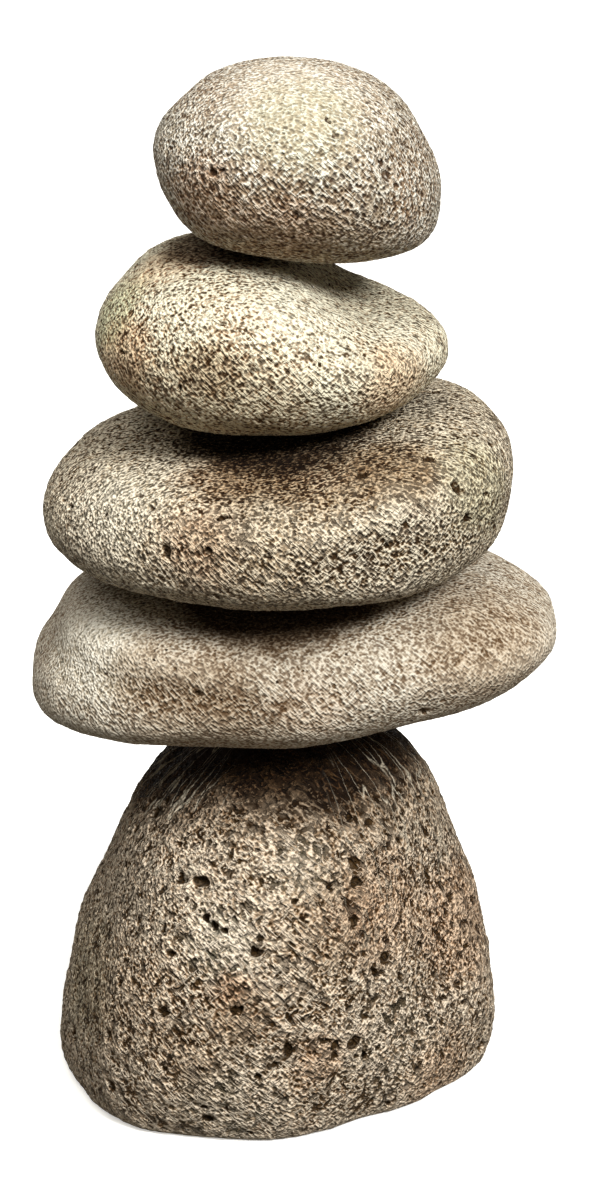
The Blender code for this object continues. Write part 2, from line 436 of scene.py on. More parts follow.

# %% [markdown]
# ## Wear the skin
#
# Real relief catches light and shadow from every side, which a painted bump can't do at the
# outline. A Geometry Nodes tree moves every point of the skin along its normal by the sum of six
# reliefs: lumps, dimples, coarse grains, wide pits, narrow pits and the large pits listed above.
# Everything fades out at the sawn foot, so the boulder still stands flat.

# %% Build the tree that wears a stone
LUMP = 26 * MM  # spacing of the noise behind each relief
DIMPLE = 7.5 * MM
GRAIN = 1.9 * MM
PIT_SIZES = (  # cell, share that can be open, widest radius against the cell, share of the depth
    (9.0 * MM, 0.45, 0.30, 1.0),
    (4.2 * MM, 0.70, 0.34, 0.6),
)
RAGGED = 2.6 * MM  # spacing of the wander in the pits' outlines
RAGGED_REACH = 2.4 * MM  # and how far it sways in all
PLACED_REACH = 6.0 * MM  # the same reach for the placed pits, which are larger
FOOT_START = 0.2 * MM  # the relief grows from nothing at this height
FOOT_FULL = 3.0 * MM  # to full at this one


def new_geometry_tree(name):
    """An empty Geometry Nodes tree, with its incoming stone and its output node."""
    tree = bpy.data.node_groups.new(name, "GeometryNodeTree")
    for direction in ("INPUT", "OUTPUT"):
        tree.interface.new_socket(
            name="Stone", in_out=direction, socket_type="NodeSocketGeometry"
        )
    return tree, add_node(tree, "NodeGroupInput"), add_node(tree, "NodeGroupOutput")


def wear_tree(name, look):
    tree, start, end = new_geometry_tree(name + "_wear")
    here = add_node(tree, "GeometryNodeInputPosition")
    outwards = add_node(tree, "GeometryNodeInputNormal")
    shift = (look["seed"], 2 * look["seed"], 3 * look["seed"])
    place = add_node(tree, "ShaderNodeVectorMath", {0: here, 1: shift}, operation="ADD")
    slanted = along_fabric(tree, place, FABRIC_SLANT, PIT_STRETCH)
    ragged = swaying(tree, slanted, RAGGED, RAGGED_REACH)
    reliefs = [
        rolling_relief(tree, place, LUMP, look["lumps"] * MM),
        rolling_relief(tree, place, DIMPLE, look["dimples"] * MM, detail=2.0),
        rolling_relief(tree, slanted, GRAIN, look["grain"] * MM),
    ]
    for cell, share, widest, depth in PIT_SIZES:
        depth *= look["pit_depth"] * MM
        reliefs.append(pit_relief(tree, ragged, cell, share * look["pits"], widest, depth))
    reliefs.append(placed_pits(tree, swaying(tree, here, RAGGED, PLACED_REACH), PITS[name]))
    total = 0.0
    for relief in reliefs:
        total = add_node(tree, "ShaderNodeMath", {0: total, 1: relief}, operation="ADD")
    height = add_node(tree, "ShaderNodeSeparateXYZ", {0: here}, "Z")
    fade = {0: height, 1: FOOT_START, 2: FOOT_FULL, 3: 0.0, 4: 1.0}
    off_foot = add_node(tree, "ShaderNodeMapRange", fade)
    total = add_node(tree, "ShaderNodeMath", {0: total, 1: off_foot}, operation="MULTIPLY")
    move = add_node(tree, "ShaderNodeVectorMath", {0: outwards, "Scale": total}, operation="SCALE")
    worn = add_node(tree, "GeometryNodeSetPosition", {"Geometry": start, "Offset": move})
    tree.links.new(worn, end.inputs[0])
    return tree


print(f"relief from {LUMP / MM:.0f} mm down to {GRAIN / MM:.1f} mm wide")

# %% [markdown]
# ## Measure where the surface lies low
#
# Dust and damp gather in hollows and keep them dark, and rolling rubs the high grains pale. The
# darkening in the hollows is also painted shade, the shade that a pit holds. The material can
# follow that if the mesh tells it how deep each point lies. A second tree blurs the points' places
# over a few millimetres, and the distance from the blurred place to the real one, along the normal,
# is how far the point lies under its neighbourhood. It is stored on the mesh as an attribute named
# hollow, in millimetres: positive in a pit, negative on a crest. The same measure first deepens the
# hollows, which brings back the crisp edges that remeshing took off the packed pits.

# %% Build the trees that measure hollows and deepen them
BLUR_STEPS = 36  # rounds of blurring, each of which reaches one square further
LEAST_HOLLOW = 0.25  # mm; shallower hollows are left as they are
DEEPEN = 0.9  # how much deeper the rest become, against their depth


def hollow_depth(tree):
    """How far each point lies under its neighbourhood, in millimetres."""
    here = add_node(tree, "GeometryNodeInputPosition")
    outwards = add_node(tree, "GeometryNodeInputNormal")
    blurring = {"Value": here, "Iterations": BLUR_STEPS}
    blurred = add_node(
        tree, "GeometryNodeBlurAttribute", blurring, "Value", data_type="FLOAT_VECTOR"
    )
    rise = add_node(tree, "ShaderNodeVectorMath", {0: blurred, 1: here}, operation="SUBTRACT")
    sides = {0: rise, 1: outwards}
    along = add_node(tree, "ShaderNodeVectorMath", sides, "Value", operation="DOT_PRODUCT")
    return add_node(tree, "ShaderNodeMath", {0: along, 1: MM}, operation="DIVIDE")


def deepening_tree(name):
    tree, start, end = new_geometry_tree(name + "_deepened")
    depth = hollow_depth(tree)
    beyond = add_node(tree, "ShaderNodeMath", {0: depth, 1: LEAST_HOLLOW}, operation="SUBTRACT")
    sunk = add_node(tree, "ShaderNodeMath", {0: beyond, 1: 0.0}, operation="MAXIMUM")
    metres = add_node(tree, "ShaderNodeMath", {0: sunk, 1: -DEEPEN * MM}, operation="MULTIPLY")
    outwards = add_node(tree, "GeometryNodeInputNormal")
    move = add_node(tree, "ShaderNodeVectorMath", {0: outwards, "Scale": metres}, operation="SCALE")
    deeper = add_node(tree, "GeometryNodeSetPosition", {"Geometry": start, "Offset": move})
    tree.links.new(deeper, end.inputs[0])
    return tree


def measuring_tree(name):
    tree, start, end = new_geometry_tree(name + "_measured")
    stored = {"Geometry": start, "Name": "hollow", "Value": hollow_depth(tree)}
    marked = add_node(
        tree, "GeometryNodeStoreNamedAttribute", stored, data_type="FLOAT", domain="POINT"
    )
    tree.links.new(marked, end.inputs[0])
    return tree


print(f"hollows deeper than {LEAST_HOLLOW} mm are sunk by {DEEPEN:.0%} of the rest of their depth")

# %% [markdown]
# ## Run the trees on every stone
#
# Each tree is applied as a modifier, one after the other, because the measuring has to see the
# finished surface. What they leave on the mesh is real shape.


# %% Wear, deepen and measure each stone
def hollow_depths(stone):
    values = np.empty(len(stone.data.vertices), np.float32)
    stone.data.attributes["hollow"].data.foreach_get("value", values)
    return values


for name, look in STONES.items():
    stone = look["mesh"]
    pick_out(stone)
    for tree in (wear_tree(name, look), deepening_tree(name), measuring_tree(name)):
        apply_modifier(stone, "NODES", node_group=tree)
    depths = hollow_depths(stone)
    print(f"{name}: crests {-depths.min():.2f} mm high, pits {depths.max():.2f} mm deep")

# %% [markdown]
# ## The rock's colours
#
# The rock is coarse and open, a lava like trachyte: cream grains about a millimetre across, set in
# a tan ground, with dark brown pores between them. Real pores go finer still, but those wouldn't
# show, so all are drawn at the size of the grains. The stones came from one river bed but not from
# one ledge, so each has its own set of the same few colours, and its own share of every mark.

# %% Describe each stone's colours
FINISHES = {
    "boulder": {
        "grain": "#e7d5bb",
        "ground": "#a08567",
        "pore": "#3c2a12",
        "stain": "#96755a",  # warm, centimetres wide
        "cool": "#978873",  # the same, greyer
        "paleness": 0.01,  # above zero, grains have the upper hand, and below it, pores
        "contrast": 1.95,  # how sharply grains and pores part
        "grain_size": 0.98,  # mm
        "detail": 0.5,  # finer octaves in the grain
        "crevices": 1.0,  # how strongly the wide crevices show
        "strokes": 2.2,  # how strongly the long pale crystals show
        "bump": 4.2,  # mm; how far the fine pattern seems to stand proud
        "specks": 0.5,  # how dark the specks of black mineral are; above 1 they also widen
        "threads": 0.85,  # how strongly dried threads of weed show
    },
    "slab": {
        "grain": "#dfd6c3",
        "ground": "#b5a58e",
        "pore": "#68523a",
        "stain": "#ae9e88",
        "cool": "#a99e8c",
        "paleness": 0.0,
        "contrast": 1.3,
        "grain_size": 0.8,
        "detail": 0.3,
        "crevices": 0.1,
        "strokes": 0.5,
        "bump": 1.8,
        "specks": 1.1,
        "threads": 0.0,
    },
    "lens": {
        "grain": "#e3d6bc",
        "ground": "#968062",
        "pore": "#372510",
        "stain": "#84664e",
        "cool": "#877d6d",
        "paleness": 0.018,
        "contrast": 2.0,
        "grain_size": 0.92,
        "detail": 0.4,
        "crevices": 0.25,
        "strokes": 1.1,
        "bump": 4.0,
        "specks": 0.6,
        "threads": 0.0,
    },
    "pointed_stone": {
        "grain": "#ece4c8",
        "ground": "#b0997a",
        "pore": "#412d14",
        "stain": "#9a7656",
        "cool": "#a39a86",
        "paleness": 0.05,
        "contrast": 1.85,
        "grain_size": 0.92,
        "detail": 0.4,
        "crevices": 0.15,
        "strokes": 1.0,
        "bump": 3.4,
        "specks": 0.7,
        "threads": 0.0,
    },
    "egg": {
        "grain": "#e8e2d2",
        "ground": "#a9967c",
        "pore": "#453120",
        "stain": "#93775a",
        "cool": "#a09680",
        "paleness": 0.005,
        "contrast": 1.15,
        "grain_size": 0.88,
        "detail": 0.4,
        "crevices": 0.1,
        "strokes": 1.0,
        "bump": 3.4,
        "specks": 0.6,
        "threads": 0.0,
    },
}
print("rocks described:", ", ".join(FINISHES))

# %% [markdown]
# ## Patches
#
# A stone isn't one colour all over. Iron has rusted in some places, damp has darkened others, and
# where a stone stuck out of the bed the sun has bleached it. Thin lichen greys a few flanks, and
# rolling has polished the egg's top. Some patches also paint light and shade: a few damp ones are
# painted shade on undersides and on a side that the lights reach too well, a few bleached ones are
# painted light where the lights leave a stone dim, and the egg's polish is also a painted highlight
# on its top. Under each overhang, where the stone above keeps the rain off, peat has stained the
# rock and a film like soot has dried on it, and those patches are also painted shadow, the shade
# that the stone above casts. Noise could scatter such patches, but a few large ones give each stone
# its face, so those are placed one by one. A kind of patch has a tint, which multiplies the rock's
# colours to darken them or screens them to lighten them. It can also shift the fine pattern towards
# grains or pores, calm it where a surface is smooth or painted in light or shade, and stay at full
# strength over more or less of its radius, which is its core.

# %% Describe the patches
PATCH_KINDS = {
    "rust": {"tint": "#f3dccb", "blend": "MULTIPLY", "shift": 0.0, "calm": 0.0, "core": 0.4},
    # damp also paints shade: it darkens a few undersides and sides where shade falls
    "damp_and_painted_shade": {"tint": "#cdbba6", "blend": "MULTIPLY", "shift": -0.05, "calm": 0.0, "core": 0.4},
    "lichen": {"tint": "#dfe6d2", "blend": "MULTIPLY", "shift": 0.0, "calm": 0.0, "core": 0.4},
    # bleached also paints light: it lightens a few places that the lights leave dim
    "bleached_and_painted_light": {"tint": "#686759", "blend": "SCREEN", "shift": 0.03, "calm": 0.0, "core": 0.3},
    # polished also paints a highlight: it lightens and calms the egg's top, where light falls
    "polish_and_painted_light": {"tint": "#837f72", "blend": "SCREEN", "shift": 0.03, "calm": 0.6, "core": 0.3},
    # peat and soot also paint shadow: the shade that a stone casts on the one under it
    "peat_and_painted_shadow": {"tint": "#71604c", "blend": "MULTIPLY", "shift": -0.09, "calm": 0.2, "core": 0.8},
    "soot_and_painted_shadow": {"tint": "#7f7460", "blend": "MULTIPLY", "shift": 0.0, "calm": 0.9, "core": 0.7},
}
PATCHES = {  # kind, middle in mm from the middle of the foot, radius in mm, strength
    "boulder": [
        ("bleached_and_painted_light", (-19, -61, 78), 15, 0.9),
        ("bleached_and_painted_light", (7, -52, 100), 13, 0.6),
        ("bleached_and_painted_light", (-16, -65, 14), 22, 0.5),
        ("bleached_and_painted_light", (43, -47, 34), 26, 0.3),
        ("damp_and_painted_shade", (-14, -67, 53), 14, 0.5),
        ("damp_and_painted_shade", (-53, -50, 50), 26, 0.2),
        ("damp_and_painted_shade", (-30, -60, 36), 16, 0.3),
        ("rust", (36, -41, 80), 24, 0.5),
        ("damp_and_painted_shade", (18, -54, 82), 22, 0.4),
        ("rust", (60, -11, 60), 26, 0.6),
        ("rust", (55, -28, 10), 18, 0.5),
        ("rust", (13, -62, 34), 12, 0.5),
        ("rust", (-16, -65, 62), 7, 0.6),
        ("rust", (-30, 55, 60), 30, 0.6),
        ("lichen", (-66, -25, 45), 26, 0.3),
        # The next four paint the shadow that the slab casts on the boulder's crown, with peat, damp
        # and soot
        ("peat_and_painted_shadow", (-3, 9, 126), 52, 1.0),
        ("damp_and_painted_shade", (0, 9, 124), 60, 0.8),
        ("soot_and_painted_shadow", (-25, -9, 126), 10, 1.0),
        ("soot_and_painted_shadow", (-13, -16, 129), 10, 1.0),
    ],
    "slab": [
        # The next two are painted light on the slab's left end, with some bleaching
        ("bleached_and_painted_light", (-64, -33, 170), 26, 1.0),
        ("bleached_and_painted_light", (-60, -38, 174), 20, 0.5),
        # painted shade that darkens the slab's right end, which the lights reach too well
        ("damp_and_painted_shade", (66, -34, 176), 28, 0.5),
        ("damp_and_painted_shade", (-20, -45, 146), 34, 0.4),
        ("damp_and_painted_shade", (-44, -47, 166), 15, 0.4),
        ("damp_and_painted_shade", (-22, -54, 166), 15, 0.4),
        ("damp_and_painted_shade", (-10, -54, 158), 14, 0.2),
        ("rust", (10, -53, 160), 14, 0.3),
        ("rust", (40, 45, 170), 24, 0.5),
        # painted shadow that the lens casts on the slab, with a peat stain
        ("peat_and_painted_shadow", (0, -20, 196), 36, 0.9),
    ],
    "lens": [
        ("bleached_and_painted_light", (-54, -43, 226), 24, 1.0),
        ("bleached_and_painted_light", (-5, -61, 226), 11, 0.4),
        # The next three are painted shadow of the pointed stone on the lens's top, with damp
        ("damp_and_painted_shade", (-8, -40, 234), 22, 0.8),
        ("damp_and_painted_shade", (15, -48, 236), 20, 0.7),
        ("damp_and_painted_shade", (37, -45, 239), 18, 0.8),
        ("rust", (-27, -63, 219), 16, 0.5),
        ("rust", (-20, -40, 234), 16, 0.3),
        ("damp_and_painted_shade", (-9, -66, 212), 28, 0.3),
        # painted shadow that the pointed stone casts on the lens, with a peat stain
        ("peat_and_painted_shadow", (0, -10, 242), 32, 0.85),
        ("lichen", (64, -37, 230), 20, 0.5),
    ],
    "pointed_stone": [
        ("damp_and_painted_shade", (-22, -47, 272), 13, 0.6),
        ("rust", (-50, -31, 270), 16, 0.8),
        ("rust", (38, -36, 263), 16, 0.7),
        ("rust", (-35, -8, 292), 16, 0.6),
        ("damp_and_painted_shade", (-9, -49, 259), 24, 0.4),
        ("damp_and_painted_shade", (-38, -38, 264), 18, 0.4),
        # painted shadow that the egg casts on the pointed stone, with a peat stain
        ("peat_and_painted_shadow", (-18, 2, 297), 20, 0.75),
        # The next three lighten the pointed stone's top where the egg shades it: painted light, with
        # some bleaching
        ("bleached_and_painted_light", (18, -6, 291), 12, 0.8),
        ("bleached_and_painted_light", (8, -30, 288), 22, 0.9),
        ("bleached_and_painted_light", (40, -22, 279), 17, 0.7),
        ("lichen", (-52, -15, 280), 16, 0.7),
    ],
    "egg": [
        # painted highlight on the egg's top, with some polish
        ("polish_and_painted_light", (4, -20, 352), 31, 0.62),
        ("lichen", (7, -28, 345), 22, 0.5),
        ("rust", (-24, -32, 323), 16, 0.7),
        ("rust", (0, -38, 312), 20, 0.6),
        # The next two darken the egg's underside: painted shade, with damp
        ("damp_and_painted_shade", (20, -30, 312), 22, 0.5),
        ("damp_and_painted_shade", (-10, -37, 312), 24, 0.3),
    ],
}
print("patches placed by hand:", sum(len(patches) for patches in PATCHES.values()))

# %% [markdown]
# ## The fine pattern
#
# One pattern stands for all that is finer than the mesh: it is high in a grain, low in a pore and
# about a half between them. A plain noise would give round dots, like a spotted dog. The rock's
# crystals lie along the fabric and across it, so the pattern is the mean of two noises that are
# drawn out along the two slants. Then the same two slants carry crevices, which are wider and lower
# the pattern, and long thin crystals, which raise it to a pale stroke.

# %% Grains, crevices and strokes
GRAIN_STRETCHES = (2.3, 2.0)  # along the fabric, and across it
CROSS_SHARE = 0.47  # how much of the mean is the noise across the fabric
CREVICES = {  # spacing and stretch of the noise, and where it starts and is full, on either slant
    "spacing": 2.9 * MM,
    "stretch": 2.6,
    "ends": ((0.42, 0.28), (0.38, 0.26)),
}
STROKES = {"spacing": 1.1 * MM, "stretch": 8.0, "ends": ((0.58, 0.70), (0.60, 0.72))}
CREVICE_DEPTH = 0.42  # how far a crevice lowers the pattern, which runs from 0 to 1
STROKE_HEIGHT = 0.2  # how far a crystal raises it
SLANTS = (FABRIC_SLANT, -FABRIC_SLANT)


def grain_pattern(tree, place, look):
    """Slanting grains: high in a grain, low in a pore, about 0.5 between them."""
    noises = []
    for slant, stretch in zip(SLANTS, GRAIN_STRETCHES):
        drawn_out = along_fabric(tree, place, slant, stretch)
        scale = 1 / (look["grain_size"] * MM)
        pattern = {"Vector": drawn_out, "Scale": scale, "Detail": look["detail"], "Roughness": 0.6}
        noises.append(add_node(tree, "ShaderNodeTexNoise", pattern))
    both = {"Factor": CROSS_SHARE, "A": noises[0], "B": noises[1]}
    return add_node(tree, "ShaderNodeMix", both, "Result", data_type="FLOAT")


def crevices_and_strokes(tree, place, look):
    """What wide crevices take off the pattern, and what long crystals add to it."""
    total = 0.0
    for marks, height in (
        (CREVICES, -CREVICE_DEPTH * look["crevices"]),
        (STROKES, STROKE_HEIGHT * look["strokes"]),
    ):
        scale = 1 / marks["spacing"]
        for slant, (start, full) in zip(SLANTS, marks["ends"]):
            drawn_out = along_fabric(tree, place, slant, marks["stretch"])
            pattern = {"Vector": drawn_out, "Scale": scale, "Detail": 1.5, "Roughness": 0.6}
            noise = add_node(tree, "ShaderNodeTexNoise", pattern)
            ramp = {0: noise, 1: start, 2: full, 3: 0.0, 4: height}
            amount = add_node(tree, "ShaderNodeMapRange", ramp)
            total = add_node(tree, "ShaderNodeMath", {0: total, 1: amount}, operation="ADD")
    return total


print(f"a pale crystal is about {STROKES['spacing'] * STROKES['stretch'] / MM:.0f} mm long")

# %% [markdown]
# ## Specks
#
# Crystals of a black mineral are strewn through the rock, a few millimetres apart and up to a
# millimetre and a half across. They are made as the pits were, from the cells of a Voronoi pattern,
# but as a spot of colour and not as a bowl.

# %% Specks of black mineral
SPECK_CELL = 4.4 * MM  # spacing of the specks
SPECK_RADII = (0.03, 0.16)  # least and largest, against the cell
SMALL_SPECKS = 0.35  # the share of the cells whose speck has the least radius
SPECK_EDGE = (0.7, 1.2)  # where a speck starts to fade and is gone, against its radius
SPECK_RAGGED = 1.2 * MM  # spacing and reach of the wander in the specks' outlines
SPECK_COLOUR = "#2f2214"


def dark_specks(tree, place, strength):
    """How much of a speck there is at a place, from 0 to a strength."""
    pattern = {"Vector": place, "Scale": 1 / SPECK_CELL}
    voronoi = add_node(tree, "ShaderNodeTexVoronoi", pattern, "Distance").node
    lot = add_node(tree, "ShaderNodeSeparateColor", {0: voronoi.outputs["Color"]})
    drawn = {0: lot, 1: SMALL_SPECKS, 2: 1.0, 3: SPECK_RADII[0], 4: SPECK_RADII[1]}
    radius = add_node(tree, "ShaderNodeMapRange", drawn)
    from_middle = {0: voronoi.outputs["Distance"], 1: radius}
    reach = add_node(tree, "ShaderNodeMath", from_middle, operation="DIVIDE")
    fade = {0: reach, 1: SPECK_EDGE[0], 2: SPECK_EDGE[1], 3: strength, 4: 0.0}
    return add_node(tree, "ShaderNodeMapRange", fade)


print(f"widest speck: {2 * SPECK_RADII[1] * SPECK_CELL / MM:.1f} mm")

# %% [markdown]
# ## Dried threads
#
# Weed has dried on near the boulder's top, in thin pale threads that run down its flanks. They
# could be modelled as curves, but they are flat and stuck to the stone, so they are painted. A
# noise is laid round the boulder's axis and drawn out downwards. Where it crosses its mean it has a
# long thin line that wanders as a thread does, and two fades keep the lines to the upper part and
# off the middle of the front.

# %% Threads of dried weed
THREAD_SPACING = 5.6 * MM  # spacing of the noise behind the threads
THREAD_RING = 45 * MM  # the ring round the stone's axis on which the noise is laid
THREAD_DRAW = (0.12, 0.12, 0.2)  # how fast the noise changes in X, Y and Z besides
THREAD_EDGE = (0.003, 0.021)  # how far off its mean the noise is at a thread's core and edge
THREAD_HEIGHTS = (56 * MM, 112 * MM)  # no threads below the first, and all of them above the second
THREAD_SIDES = (14 * MM, 30 * MM)  # the same, for how far they lie to the left or right
THREAD_COLOUR = "#d8ccb4"


def dried_threads(tree, place, strength):
    """Thin pale lines that wander down a stone's flanks."""
    level = {0: place, 1: (1, 1, 0)}
    outwards = add_node(tree, "ShaderNodeVectorMath", level, operation="MULTIPLY")
    round_axis = add_node(tree, "ShaderNodeVectorMath", {0: outwards}, operation="NORMALIZE")
    ring = {0: round_axis, "Scale": THREAD_RING}
    on_ring = add_node(tree, "ShaderNodeVectorMath", ring, operation="SCALE")
    draw = {0: place, 1: THREAD_DRAW, 2: on_ring}
    drawn_out = add_node(tree, "ShaderNodeVectorMath", draw, operation="MULTIPLY_ADD")
    pattern = {"Vector": drawn_out, "Scale": 1 / THREAD_SPACING, "Detail": 1.0}
    noise = add_node(tree, "ShaderNodeTexNoise", pattern)
    off_mean = add_node(tree, "ShaderNodeMath", {0: noise, 1: 0.5}, operation="SUBTRACT")
    distance = add_node(tree, "ShaderNodeMath", {0: off_mean}, operation="ABSOLUTE")
    edge = {0: distance, 1: THREAD_EDGE[0], 2: THREAD_EDGE[1], 3: strength, 4: 0.0}
    amount = add_node(tree, "ShaderNodeMapRange", edge)
    parts = add_node(tree, "ShaderNodeSeparateXYZ", {0: place}, "Z").node
    sideways = add_node(tree, "ShaderNodeMath", {0: parts.outputs["X"]}, operation="ABSOLUTE")
    for source, (start, full) in (
        (parts.outputs["Z"], THREAD_HEIGHTS),
        (sideways, THREAD_SIDES),
    ):
        fade = {0: source, 1: start, 2: full, 3: 0.0, 4: 1.0}
        share = add_node(tree, "ShaderNodeMapRange", fade)
        amount = add_node(tree, "ShaderNodeMath", {0: amount, 1: share}, operation="MULTIPLY")
    return amount


print("stones with threads:", [name for name, look in FINISHES.items() if look["threads"]])

# %% [markdown]
# ## Where the patches lie
#
# A patch is full at its core and fades out beyond its radius. Its places sway by a few millimetres,
# so its outline is as ragged as a real stain's and not a circle.

# %% How much of each patch there is
PATCH_RAGGED = 9 * MM  # spacing of the wander in the patches' outlines
PATCH_REACH = 10 * MM  # and how far it sways in all
PATCH_END = 1.2  # where a patch has faded out, against its radius


def patch_amounts(tree, place, patches):
    """For each patch, its kind and how much of it there is at a place, from 0 to its strength."""
    ragged = swaying(tree, place, PATCH_RAGGED, PATCH_REACH)
    amounts = []
    for kind_name, middle, radius, strength in patches:
        kind = PATCH_KINDS[kind_name]
        to_middle = {0: ragged, 1: [part * MM for part in middle]}
        distance = add_node(tree, "ShaderNodeVectorMath", to_middle, "Value", operation="DISTANCE")
        core, end = kind["core"] * radius * MM, PATCH_END * radius * MM
        fade = {0: distance, 1: core, 2: end, 3: strength, 4: 0.0}
        amount = add_node(tree, "ShaderNodeMapRange", fade, interpolation_type="SMOOTHSTEP")
        amounts.append((kind, amount))
    return amounts


widest_patch = max(radius for patches in PATCHES.values() for _, _, radius, _ in patches)
print(f"widest patch: {widest_patch} mm in radius")

# %% [markdown]
# ## Bring the pattern together
#
# Besides crevices and strokes, a broad noise mottles the pattern, so that grains gather in some
# places and pores in others. Then the patches have their say: a damp one has more pores, and so
# does a patch of painted shade; a bleached one has more grains, and so does a patch of painted
# light; and a polished one, which also paints light, and a sooty one, which also paints shadow,
# are calmed towards the flat middle of the pattern.

# %% The pattern with all that moves it
BROAD_NOISES = {  # spacing and detail
    "cool": (15 * MM, 2.0),
    "stain": (24 * MM, 3.0),
    "mottle": (5 * MM, 2.0),
}
MOTTLE_SHIFT = 0.03  # how far the mottling moves the pattern, either way


def rock_pattern(tree, place, look, mottle, amounts):
    """The fine pattern, with what the mottling and the patches do to it."""
    pattern = grain_pattern(tree, place, look)
    mottled = {0: mottle, 1: 0.3, 2: 0.7, 3: -MOTTLE_SHIFT, 4: MOTTLE_SHIFT}
    marks = crevices_and_strokes(tree, place, look)
    for shift in (marks, add_node(tree, "ShaderNodeMapRange", mottled)):
        pattern = add_node(tree, "ShaderNodeMath", {0: pattern, 1: shift}, operation="ADD")
    for kind, amount in amounts:
        if kind["calm"]:
            share = {0: amount, 1: kind["calm"]}
            calmed = add_node(tree, "ShaderNodeMath", share, operation="MULTIPLY")
            levelled = {"Factor": calmed, "A": pattern, "B": 0.5}
            pattern = add_node(tree, "ShaderNodeMix", levelled, "Result", data_type="FLOAT")
        if kind["shift"]:
            moved = {0: amount, 1: kind["shift"], 2: pattern}
            pattern = add_node(tree, "ShaderNodeMath", moved, operation="MULTIPLY_ADD")
    return pattern


print("broad noises:", ", ".join(BROAD_NOISES))

# %% [markdown]
# ## Lay the colours over each other
#
# The colour starts as the tan ground, and coats are laid over it, as a painter would:
# centimetre-wide stains, then cream grains and dark pores from the fine pattern, then the pale
# rubbed crests, the specks and the patches, some of which paint light and shade, and last the dirt
# and painted shade in the hollows measured above and the threads. Each coat is how much of it there
# is, its colour, and how the two are blended.

# %% The coats of colour
GRAIN_EDGE = 0.15  # how far from its middle the pattern is all grain or pore, at a contrast of 1


def rock_coats(tree, here, place, look, noises, amounts, pattern):
    """Amount, colour and blend of every coat over the ground, from the first to the last."""
    middle = 0.5 - look["paleness"]
    reach = GRAIN_EDGE / look["contrast"]
    hollow = add_node(tree, "ShaderNodeAttribute", output="Fac", attribute_name="hollow")
    ramps = {  # what each is read from, where it starts and is full, how strong it then is
        "cool": (noises["cool"], 0.50, 0.70, 0.8),
        "stain": (noises["stain"], 0.50, 0.72, 0.8),
        "grain": (pattern, middle, middle + reach, 1.0),
        "pore": (pattern, middle, middle - reach, 1.0),
        "rubbed": (hollow, -0.05, -0.5, 0.35),
        # dirt in the hollows, and painted shade there as well
        "dirt_and_painted_shade": (hollow, 0.12, 0.6, 0.95),
    }
    layers = {}
    for part, (source, start, full, strength) in ramps.items():
        ramp = {0: source, 1: start, 2: full, 3: 0.0, 4: strength}
        layers[part] = add_node(tree, "ShaderNodeMapRange", ramp)
    coats = [(layers[part], look[part], "MIX") for part in ("cool", "stain", "grain", "pore")]
    coats.append((layers["rubbed"], look["grain"], "MIX"))
    speckled = swaying(tree, place, SPECK_RAGGED, SPECK_RAGGED)
    coats.append((dark_specks(tree, speckled, look["specks"]), SPECK_COLOUR, "MIX"))
    coats += [(amount, kind["tint"], kind["blend"]) for kind, amount in amounts]
    # dirt and painted shade in the hollows, in the pores' colour
    coats.append((layers["dirt_and_painted_shade"], look["pore"], "MIX"))
    if look["threads"]:
        coats.append((dried_threads(tree, here, look["threads"]), THREAD_COLOUR, "MIX"))
    return coats


print(f"grains part from pores over {2 * GRAIN_EDGE:.1f} of the pattern's range, or less")

# %% [markdown]
# ## The rock itself
#
# This is rolled trachyte, broken out of a ledge and worn by a river. A surface like that is dry and
# has no gloss at all, so roughness is close to 1 and the specular level is low. The fine pattern
# also drives a bump, so that the grains that are too fine for the mesh still catch the light.

# %% Build a rock material
ROCK_ROUGHNESS = 0.92
ROCK_SPECULAR = 0.12


def rock_finish(name, look, patches, seed):
    """Rolled, open-grained lava: dry, dull and speckled."""
    material = bpy.data.materials.new(name + "_rolled_rock")
    material.use_nodes = True
    tree = material.node_tree
    shader = tree.nodes["Principled BSDF"]
    here = add_node(tree, "ShaderNodeTexCoord", output="Object")
    shift = {"Vector": here, "Location": (seed, seed, seed)}
    place = add_node(tree, "ShaderNodeMapping", shift)
    noises = {}
    for part, (spacing, detail) in BROAD_NOISES.items():
        broad = {"Vector": place, "Scale": 1 / spacing, "Detail": detail}
        noises[part] = add_node(tree, "ShaderNodeTexNoise", broad)
    amounts = patch_amounts(tree, here, patches)
    pattern = rock_pattern(tree, place, look, noises["mottle"], amounts)

    colour = linear(look["ground"])
    for amount, coat, blend in rock_coats(tree, here, place, look, noises, amounts, pattern):
        coating = {"Factor": amount, "A": colour, "B": linear(coat)}
        colour = add_node(
            tree, "ShaderNodeMix", coating, "Result", data_type="RGBA", blend_type=blend
        )
    tree.links.new(colour, shader.inputs["Base Color"])

    bumpy = {"Strength": 1.0, "Distance": look["bump"] * MM, "Height": pattern}
    tree.links.new(add_node(tree, "ShaderNodeBump", bumpy), shader.inputs["Normal"])
    shader.inputs["Roughness"].default_value = ROCK_ROUGHNESS
    shader.inputs["Specular IOR Level"].default_value = ROCK_SPECULAR
    return material


for name, look in STONES.items():
    stone = look["mesh"]
    stone.data.materials.append(rock_finish(name, FINISHES[name], PATCHES[name], look["seed"]))
    print(f"{name}: painted as {stone.data.materials[0].name}")

# %% [markdown]
# ## Put the dressed stones in the imported ones' place
#
# Each dressed stone rides on the stack's one body and takes the place of the imported stone that it
# was copied from, which is hidden.

# %% Replace the imported stones
for name, look in STONES.items():
    stone = look["mesh"]
    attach(stone, "root")
    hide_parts(look["node"])
    triangles = sum(len(face.vertices) - 2 for face in stone.data.polygons)
    print(f"{name}: {triangles} triangles in place of {look['node']}")

